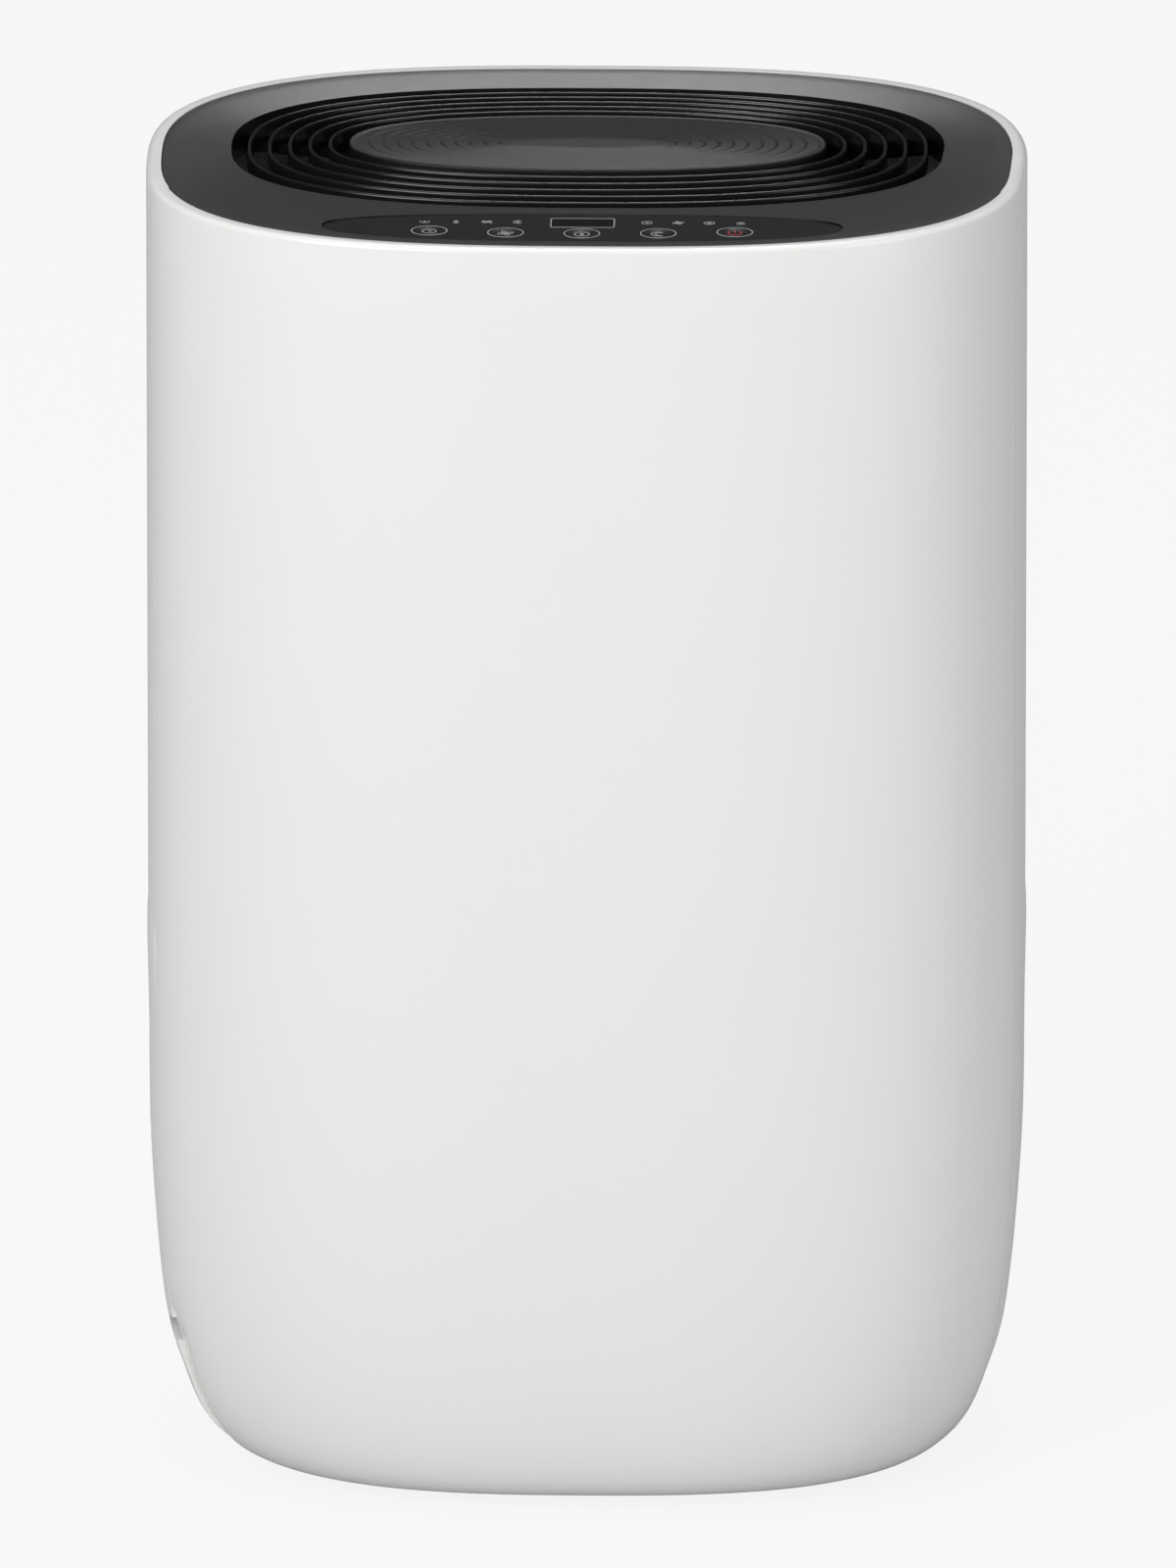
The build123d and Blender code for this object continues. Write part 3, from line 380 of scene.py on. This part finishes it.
def front_moulding():
    """The front of the casing as one wall.

    Each row is the part of an oval in front of the seam. Its half axes are constant down to the
    draw-in height, and below it they shrink as a superellipse does towards the foot. Above, the
    rows go round the rim and down inside it. The inner wall retraces the rows, inset by the wall's
    thickness, so the surface closes on itself. The scoop takes off
    depth * (1 - r^3), where r is the distance from the seam's foot over the scoop's reach.
    """
    sizes = bpy.context.scene.casing_sizes
    columns = sizes.columns
    rim = sizes.rim_round / MM
    t = np.linspace(0, math.pi / 2, 40)[1:]
    across, down = lame(DRAW_IN_POWER, t)
    z_low = DRAW_IN_TOP - (DRAW_IN_TOP - UNDERSIDE) * down
    inset_low = 1 - across
    arc = rounded_corner(rim, HEIGHT - rim, rim, 90, 180, 8)
    lip_z = HEIGHT - RIM_INNER_ROUND
    lip = rounded_corner(RIM_WIDTH - RIM_INNER_ROUND, lip_z, RIM_INNER_ROUND, 0, 90, 4)[1:]
    straight_z = np.linspace(HEIGHT - rim, DRAW_IN_TOP, 14)[1:]
    plain = np.zeros(len(straight_z) + len(z_low))
    z = np.concatenate([[LEDGE_Z, lip_z], lip[:, 1], arc[:, 1], straight_z, z_low])
    inset = np.concatenate([[RIM_WIDTH, RIM_WIDTH], lip[:, 0], arc[:, 0], plain])
    draw = np.concatenate([np.zeros(len(z) - len(z_low)), inset_low])
    half_x = HALF_W - inset - DRAW_IN_X * draw
    half_y = HALF_D - inset - DRAW_IN_Y * draw
    # inner wall, from the bottom back up to the ledge
    keep = slice(len(z) - len(plain), len(z))
    inner_x = (half_x[keep] - WALL)[::-1]
    inner_y = (half_y[keep] - WALL)[::-1]
    inner_z = np.maximum(z[keep], UNDERSIDE + WALL)[::-1].copy()
    inner_z[inner_z > LEDGE_Z - 3] = LEDGE_Z - 3
    half_x = np.concatenate([half_x, inner_x])
    half_y = np.concatenate([half_y, inner_y])
    z = np.concatenate([z, inner_z])
    rows = len(z)
    v_end = SEAM_Y / half_y
    u_end = (1 - np.abs(v_end) ** PLAN_POWER) ** (1 / PLAN_POWER)
    alpha = np.arctan2(np.abs(v_end), u_end)
    s = np.linspace(0, 1, columns)
    # ease the columns towards both ends, where the seam and the scoop need them
    s = np.clip(s - 0.1 * np.sin(2 * math.pi * s) / (2 * math.pi) * 6, 0, 1)
    angle = (-math.pi + alpha)[:, None] + (math.pi - 2 * alpha)[:, None] * s[None, :]
    u, v = lame(PLAN_POWER, angle)
    x = half_x[:, None] * u
    y = half_y[:, None] * v
    zz = np.broadcast_to(z[:, None], x.shape).copy()
    # finger scoop: a smooth hollow along the left seam, fading out upwards and away from it
    outer = np.arange(rows) < rows - len(inner_z)
    depth = sizes.scoop_depth / MM
    away = np.clip((y - SEAM_Y) / -SCOOP_REACH, 0, 1)
    lift = np.clip((zz - SCOOP_TOP) / SCOOP_FADE, 0, 1)
    reach = np.sqrt(away**2 + lift**2)
    hollow = depth * np.clip(1 - reach**3, 0, 1) * (x < 0) * outer[:, None]
    length = np.hypot(x, y)
    x = x - hollow * x / length
    y = y - hollow * y / length
    points = np.stack([x, y, zz], -1).reshape(-1, 3)
    quads = grid_faces(rows + 1, columns, False) % (rows * columns)
    first = [r * columns for r in range(rows)]
    ends = [first, [r + columns - 1 for r in first][::-1]]
    return points, quads[:, ::-1].tolist() + [e[::-1] for e in ends]


def slat_rings():
    """Oval slats: a narrow upright section with a rounded top, carried round each superellipse."""
    sizes = bpy.context.scene.outlet_sizes
    half = sizes.slat_width / MM / 2
    rings = []
    for i in range(1, sizes.slats + 1):
        share = (i * SLAT_PITCH - SLAT_SHIFT) / (OPENING_X - DISC_X)
        a = OPENING_X + (DISC_X - OPENING_X) * share
        b = OPENING_Y + (DISC_Y - OPENING_Y) * share
        power = OPENING_POWER + (DISC_POWER - OPENING_POWER) * share
        top = OPENING_Z + DISC_RISE * share
        arc = rounded_corner(0, top - half, half, 0, 180, 9)
        offset = np.concatenate([[half], arc[:, 0], [-half]])
        z = np.concatenate([[LEDGE_Z], arc[:, 1], [LEDGE_Z]])
        points = stacked_ovals(a + offset, b + offset, z, power, GRILLE_Y, OVAL_COLUMNS)
        rings.append((points, loop_faces(len(z), OVAL_COLUMNS, close_rows=True)))
    return join_shapes(rings)


def grooved_disc():
    """The outlet's middle: ovals from the flat centre outwards, with a sawtooth of fine grooves."""
    sizes = bpy.context.scene.outlet_sizes
    depth = sizes.groove_depth / MM
    steps = 8
    share = np.linspace(0, 1, sizes.grooves * steps + 1)[:-1]
    tooth = (share * sizes.grooves) % 1.0
    # a saw tooth: falls over three quarters of the pitch and rises over the last quarter
    height = np.where(tooth < 0.75, -depth * tooth / 0.75, -depth * (1 - (tooth - 0.75) / 0.25))
    edge = rounded_corner(-DISC_ROUND, DISC_TOP - DISC_ROUND, DISC_ROUND, 90, 0, 6)

    def half_axis(inner, outer):
        grooved = inner + (outer - DISC_WALL - inner) * share
        skirt = [outer, outer - DISC_WALL, outer - DISC_WALL, 0.3]
        return np.concatenate([[0.02 * inner, 0.6 * inner], grooved, outer + edge[:, 0], skirt])

    under = [LEDGE_Z, LEDGE_Z, DISC_TOP - 2.5, DISC_TOP - 2.5]
    z = np.concatenate([[DISC_TOP, DISC_TOP], DISC_TOP + height, edge[:, 1], under])
    half_x, half_y = half_axis(INNER_X, DISC_X), half_axis(INNER_Y, DISC_Y)
    points = stacked_ovals(half_x, half_y, z, DISC_POWER, GRILLE_Y, OVAL_COLUMNS)
    faces = loop_faces(len(z), OVAL_COLUMNS, caps=True)
    return points, [f[::-1] for f in faces]


def on_panel(u, v, lift):
    """Places (across, up the slope, above the face) on the sloping panel as points."""
    c, s = math.cos(PANEL_SLOPE), math.sin(PANEL_SLOPE)
    u, v, lift = np.broadcast_arrays(u, v, lift)
    return np.stack([u, PANEL_FRONT_Y + v * c + lift * s, COVER_TOP - v * s + lift * c], -1)


def key_place(index):
    """Centre of a key on the panel."""
    u = (index - (len(KEY_NAMES) - 1) / 2) * KEY_PITCH
    return u, KEY_V + KEY_ARC - math.sqrt(KEY_ARC**2 - u**2)


def key_cap(index):
    """A round key: its radius against height is a straight side, a rounded edge, a dished top."""
    cu, cv = key_place(index)
    flat = KEY_RADIUS - KEY_ROUND
    edge = rounded_corner(flat, -KEY_ROUND, KEY_ROUND, 0, 90, 6)
    dish = np.linspace(0.92, 0.02, 10)
    radius = np.concatenate([[0.1, KEY_RADIUS, KEY_RADIUS], edge[:, 0], flat * dish])
    side = [-KEY_DEPTH, -KEY_DEPTH, -KEY_ROUND]
    lift = np.concatenate([side, edge[:, 1], -KEY_DISH * (1 - dish**2)])
    angle = np.linspace(0, 2 * math.pi, 64, endpoint=False)
    u = cu + radius[:, None] * np.cos(angle)
    v = cv + radius[:, None] * np.sin(angle)
    points = on_panel(u, v, np.broadcast_to(lift[:, None], u.shape)).reshape(-1, 3)
    return points, loop_faces(len(radius), 64, caps=True)


def ribbon(path, width, closed, place, lift):
    """A printed line: a path given width to both sides and a hair of height, as a closed strip."""
    path = np.asarray(path, float)
    if closed:
        ahead = np.roll(path, -1, 0) - np.roll(path, 1, 0)
    else:
        ahead = np.gradient(path, axis=0)
    ahead /= np.maximum(np.linalg.norm(ahead, axis=1, keepdims=True), 1e-9)
    side = np.stack([-ahead[:, 1], ahead[:, 0]], -1) * width / 2
    left, right = path + side, path - side
    cu, cv = place
    rows = []
    for loop, height in ((left, INK_THICK), (right, INK_THICK), (right, 0), (left, 0)):
        rows.append(on_panel(cu + loop[:, 0], cv + loop[:, 1], lift + INK_LIFT + height))
    count = len(path)
    points = np.stack(rows, 1).reshape(-1, 3)
    quads = grid_faces(count + 1 if closed else count, 4, True) % len(points)
    faces = quads.tolist()
    if not closed:
        faces += [[3, 2, 1, 0], [len(points) - 4 + k for k in range(4)]]
    return points, faces


def arc_path(radius, start, end, centre=(0, 0), steps=48):
    """Points of an arc between two angles in degrees."""
    t = np.radians(np.linspace(start, end, steps))
    return np.stack([centre[0] + radius * np.cos(t), centre[1] + radius * np.sin(t)], -1)


def circle_path(radius, centre=(0, 0), steps=48):
    """Points of a full circle, the first not repeated at the end."""
    t = np.linspace(0, 2 * math.pi, steps, endpoint=False)
    return np.stack([centre[0] + radius * np.cos(t), centre[1] + radius * np.sin(t)], -1)


def line_path(*points):
    """The corners of a broken line."""
    return np.asarray(points, float)


def join_shapes(shapes):
    """Several (points, faces) as one."""
    points, faces, count = [], [], 0
    for p, f in shapes:
        points.append(p)
        faces += [[q + count for q in face] for face in f]
        count += len(p)
    return np.concatenate(points), faces


def fan_petals(size):
    """Four leaf outlines round a middle, each an ellipse set away from it and turned."""
    leaf = []
    for k in range(4):
        turn = math.radians(90 * k + 20)
        t = np.linspace(0, 2 * math.pi, 28, endpoint=False)
        x = size * (0.55 + 0.42 * np.cos(t))
        y = size * 0.24 * np.sin(t)
        c, s = math.cos(turn), math.sin(turn)
        leaf.append((np.stack([x * c - y * s, x * s + y * c], -1), True))
    return leaf


def drop_path(size, centre=(0, 0)):
    """A water drop: a circle drawn up to a point by sin(t / 2) to the power 1.5."""
    t = np.linspace(0, 2 * math.pi, 40, endpoint=False)
    x = size * 0.62 * np.sin(t) * np.sin(t / 2) ** 1.5
    y = size * np.cos(t)
    return np.stack([centre[0] + x, centre[1] + y], -1)


def power_icon(size):
    """An open ring with an upright bar in its gap."""
    bar = line_path((0, size * 0.15), (0, size * 1.15))
    return [(arc_path(size, 125, 415), False), (bar, False)]


def clock_icon(size):
    """A dial with two hands."""
    long_hand = line_path((0, size * 0.65), (0, 0))
    short_hand = line_path((0, 0), (size * 0.45, -size * 0.2))
    return [(circle_path(size), True), (long_hand, False), (short_hand, False)]


def target_icon(size):
    """A water drop in a ring."""
    return [(circle_path(size), True), (drop_path(size * 0.5), True)]


def moon_icon(size):
    """A crescent: a large arc and a smaller one beside it."""
    inner = arc_path(size * 0.8, 70, 290, (size * 0.36, 0))
    return [(arc_path(size, 50, 310), False), (inner, False)]


def wave_icon(size):
    """Three level sine waves, one above another."""
    t = np.linspace(-1, 1, 24)
    wave = size * 0.22 * np.sin(t * 2 * math.pi)
    return [(np.stack([t * size, wave + k * size * 0.55], -1), False) for k in (-1, 0, 1)]


def tank_icon(size):
    """An open bucket with a drop in it."""
    corners = ((-1, 0.7), (-0.7, -0.8), (0.7, -0.8), (1, 0.7))
    bucket = line_path(*((size * x, size * y) for x, y in corners))
    return [(bucket, False), (drop_path(size * 0.42, (0, -size * 0.05)), True)]


def leaf_icon(size):
    """A drop-shaped leaf with its stalk."""
    return [(drop_path(size), True), (line_path((0, -size), (0, size * 0.2)), False)]


def lock_icon(size):
    """A padlock: a box with a half ring over it."""
    corners = ((-0.7, -0.9), (0.7, -0.9), (0.7, 0.1), (-0.7, 0.1), (-0.7, -0.9))
    case = line_path(*((size * x, size * y) for x, y in corners))
    return [(case, False), (arc_path(size * 0.45, 0, 180, (0, size * 0.2)), False)]


def printed(strokes, width, place, lift):
    """An icon's strokes as printed lines at one place on the panel."""
    return [ribbon(path, width, closed, place, lift) for path, closed in strokes]


def place_piece(name, shape, slot, body, replaced=(), material=None, smooth_angle=40):
    """Makes one piece from (points, faces), gives it its finish, and rides it on its body."""
    points, faces = shape
    piece = put_mesh(name, points, faces, material or FINISHES[slot], sharp_angle=smooth_angle)
    if replaced:
        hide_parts(*replaced)
    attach(piece, body)
    return piece


# ---------------------------------------------------------------- operators


class BuildCadFinishes(bpy.types.Operator):
    """Smooths the CAD nodes' shading and gives each the finish of its slot."""

    bl_idname = "dehumidifier.cad_finishes"
    bl_label = "CAD finishes"

    def execute(self, context):
        slots = {row["node"]: row["material_slot"] for row in frame["record"]["subparts"]}
        for name, node in frame["nodes"].items():
            node.data.materials.clear()
            node.data.materials.append(FINISHES[slots[name]])
            weld = node.modifiers.new("Weld", "WELD")
            weld.merge_threshold = 1e-6
            split = node.modifiers.new("Sharp edges", "EDGE_SPLIT")
            split.split_angle = math.radians(32)
            node.data.polygons.foreach_set("use_smooth", np.ones(len(node.data.polygons), bool))
        return {"FINISHED"}


class BuildFrontMoulding(bpy.types.Operator):
    """Builds the white front of the casing with its rim and finger scoop."""

    bl_idname = "dehumidifier.front_moulding"
    bl_label = "Front moulding"

    def execute(self, context):
        place_piece("front_moulding", front_moulding(), "white_abs", "cabinet", ["front_shell"])
        return {"FINISHED"}


class BuildOutlet(bpy.types.Operator):
    """Builds the oval slats and the grooved disc of the air outlet."""

    bl_idname = "dehumidifier.outlet"
    bl_label = "Air outlet"

    def execute(self, context):
        place_piece("oval_slats", slat_rings(), "gloss_black", "cabinet", ["outlet_slats"])
        # Etched mould, so a dull black whose grooves show by their shape and not by glints.
        etched = ("ABS, black, finely etched", "#101113", 0.42, 0.5, 0.03, 0.2, 1.2)
        matt = finish(*etched, Specular_IOR_Level=0.3)
        place_piece("grooved_disc", grooved_disc(), "black_abs", "cabinet", ["outlet_disc"], matt, 12)
        return {"FINISHED"}


class BuildKeys(bpy.types.Operator):
    """Builds the five round keys, each with its printed icon, which ride on their own bodies."""

    bl_idname = "dehumidifier.keys"
    bl_label = "Keys"

    def execute(self, context):
        sizes = context.scene.panel_sizes
        width = sizes.ink_width / MM
        icons = (clock_icon(2.6), fan_petals(3.2), target_icon(2.8), moon_icon(2.6), power_icon(2.5))
        for index, (name, strokes) in enumerate(zip(KEY_NAMES, icons)):
            place_piece(name + "_cap", key_cap(index), "gloss_black", name, [name])
            ink = RED_INK if name == "power_key" else INK
            icon = join_shapes(printed(strokes, width, key_place(index), ICON_SINK))
            place_piece(name + "_icon", icon, "gloss_black", name, material=ink)
        return {"FINISHED"}


class BuildPanelPrint(bpy.types.Operator):
    """Prints the rings round the keys, the frame of the display, and the indicator icons."""

    bl_idname = "dehumidifier.panel_print"
    bl_label = "Panel printing"

    def execute(self, context):
        sizes = context.scene.panel_sizes
        width = sizes.ink_width / MM
        ring = circle_path(sizes.ring_radius / MM, steps=96)
        rings = [ribbon(ring, width, True, key_place(i), 0) for i in range(len(KEY_NAMES))]
        place_piece("key_rings", join_shapes(rings), "gloss_black", "cabinet", material=INK)
        a, b = (side / 2 + DISPLAY_MARGIN - 1 for side in DISPLAY_SIZE)
        corners = ((a, b, 0), (-a, b, 90), (-a, -b, 180), (a, -b, 270))
        path = [arc_path(1.0, start, start + 90, (x, y), 6) for x, y, start in corners]
        window = ribbon(np.concatenate(path), width, True, (0, DISPLAY_V), 0)
        place_piece("display_frame", window, "gloss_black", "cabinet", material=INK)
        icons = [tank_icon(1.8), leaf_icon(1.9), wave_icon(1.9), moon_icon(1.8)]
        icons += [clock_icon(1.9), fan_petals(2.2), target_icon(1.9), lock_icon(1.9)]
        places = [-x for x in LAMP_X[::-1]] + list(LAMP_X)
        shapes = []
        for x, strokes in zip(places, icons):
            shapes += printed(strokes, width * 0.85, (x, LAMP_V), 0)
        place_piece("indicator_icons", join_shapes(shapes), "gloss_black", "cabinet", material=INK)
        return {"FINISHED"}


class BuildStudio(bpy.types.Operator):
    """Makes the pale floor, the soft lights and the camera."""

    bl_idname = "dehumidifier.studio"
    bl_label = "Studio"

    def execute(self, context):
        settings = context.scene.studio_settings
        floor_paint = finish("Paper, white studio sweep", "#C4C4C4", 0.9, 0.5, 0.01, 0.004, 400.0)
        self.whiten_for_camera(floor_paint.node_tree, 0.12)
        corners = [(-6000, -6000, 0), (6000, -6000, 0), (6000, 6000, 0), (-6000, 6000, 0)]
        floor = put_mesh("floor", corners, [(0, 1, 2, 3)], floor_paint)
        world = bpy.data.worlds.new("studio")
        world.use_nodes = True
        tree = world.node_tree
        background = tree.nodes["Background"]
        background.inputs["Color"].default_value = (1, 1, 1, 1)
        seen = add(tree, "ShaderNodeBackground", {"Color": (1, 1, 1, 1), "Strength": 1.0})
        rays = add(tree, "ShaderNodeLightPath")
        # reflections see a dimmer room than the soft light suggests, so blacks stay deep
        dim = {"operation": "MULTIPLY_ADD"}
        level = add(tree, "ShaderNodeMath", dim, {0: (rays, "Is Glossy Ray")})
        level.inputs[1].default_value = -0.34
        level.inputs[2].default_value = 0.39
        tree.links.new(level.outputs[0], background.inputs["Strength"])
        mix = add(tree, "ShaderNodeMixShader")
        tree.links.new(rays.outputs["Is Camera Ray"], mix.inputs[0])
        tree.links.new(background.outputs[0], mix.inputs[1])
        tree.links.new(seen.outputs[0], mix.inputs[2])
        tree.links.new(mix.outputs[0], tree.nodes["World Output"].inputs["Surface"])
        context.scene.world = world
        self.light("key_light", (-1.6, -2.6, 2.0), settings.key_power, 1.8)
        self.light("fill_light", (2.1, -1.9, 0.9), settings.key_power * 0.26, 1.6)
        self.light("top_light", (0.0, 0.2, 2.6), settings.key_power * 0.2, 1.6)
        self.light("back_light", (0.0, 2.9, 2.5), settings.key_power * 0.14, 0.5)
        camera_data = bpy.data.cameras.new("camera")
        camera_data.lens = LENS_MM_PER_METRE * settings.distance
        camera_data.sensor_width = 36
        camera_data.clip_end = 200
        camera = bpy.data.objects.new("camera", camera_data)
        context.scene.collection.objects.link(camera)
        aim = Vector(AIM)
        e = settings.elevation
        a = settings.azimuth
        sight = Vector((math.sin(a) * math.cos(e), -math.cos(a) * math.cos(e), math.sin(e)))
        camera.location = aim + sight * settings.distance
        camera.rotation_euler = (aim - camera.location).to_track_quat("-Z", "Y").to_euler()
        context.scene.camera = camera
        context.scene.view_settings.view_transform = "Standard"
        return {"FINISHED"}

    def whiten_for_camera(self, tree, share):
        """Makes the paper glow white to the camera, and keeps a share of its own shading."""
        glow = add(tree, "ShaderNodeEmission", {"Color": (1, 1, 1, 1), "Strength": 1.0})
        rays = add(tree, "ShaderNodeLightPath")
        times = {"operation": "MULTIPLY"}
        amount = add(tree, "ShaderNodeMath", times, {0: (rays, "Is Camera Ray")})
        amount.inputs[1].default_value = 1 - share
        mix = add(tree, "ShaderNodeMixShader")
        tree.links.new(amount.outputs[0], mix.inputs[0])
        tree.links.new(tree.nodes["Principled BSDF"].outputs[0], mix.inputs[1])
        tree.links.new(glow.outputs[0], mix.inputs[2])
        tree.links.new(mix.outputs[0], tree.nodes["Material Output"].inputs["Surface"])

    def light(self, name, place, power, size):
        """A round soft light at a place in metres, turned to the middle of the object."""
        data = bpy.data.lights.new(name, "AREA")
        data.energy = power
        data.shape = "DISK"
        data.size = size
        lamp = bpy.data.objects.new(name, data)
        lamp.location = place
        towards = Vector((0, 0, 0.25)) - Vector(place)
        lamp.rotation_euler = towards.to_track_quat("-Z", "Y").to_euler()
        lamp.visible_camera = False
        bpy.context.scene.collection.objects.link(lamp)


class DehumidifierPanel(bpy.types.Panel):
    """Lists the sizes and the operators."""

    bl_idname = "VIEW3D_PT_dehumidifier"
    bl_label = "Dehumidifier"
    bl_space_type = "VIEW_3D"
    bl_region_type = "UI"
    bl_category = "Dehumidifier"

    def draw(self, context):
        layout = self.layout
        for group in GROUPS:
            box = layout.box()
            settings = getattr(context.scene, group)
            for prop in settings.bl_rna.properties.keys():
                if prop not in {"rna_type", "name"}:
                    box.prop(settings, prop)
        for operator in OPERATORS:
            layout.operator(operator.bl_idname)


OPERATORS = (
    BuildCadFinishes,
    BuildFrontMoulding,
    BuildOutlet,
    BuildKeys,
    BuildPanelPrint,
    BuildStudio,
)
GROUPS = {
    "casing_sizes": CasingSizes,
    "outlet_sizes": OutletSizes,
    "panel_sizes": PanelSizes,
    "studio_settings": StudioSettings,
}


def register():
    """Adds the classes, and each group of sizes to the scene."""
    for cls in (*GROUPS.values(), *OPERATORS, DehumidifierPanel):
        bpy.utils.register_class(cls)
    for name, cls in GROUPS.items():
        setattr(bpy.types.Scene, name, bpy.props.PointerProperty(type=cls))


def unregister():
    """Takes the groups and the classes away again."""
    for name in GROUPS:
        delattr(bpy.types.Scene, name)
    for cls in (DehumidifierPanel, *OPERATORS[::-1], *GROUPS.values()):
        bpy.utils.unregister_class(cls)


def main():
    register()
    for operator in OPERATORS:
        family, action = operator.bl_idname.split(".")
        getattr(getattr(bpy.ops, family), action)()
    bpy.context.view_layer.update()


if __name__ == "__main__":
    main()
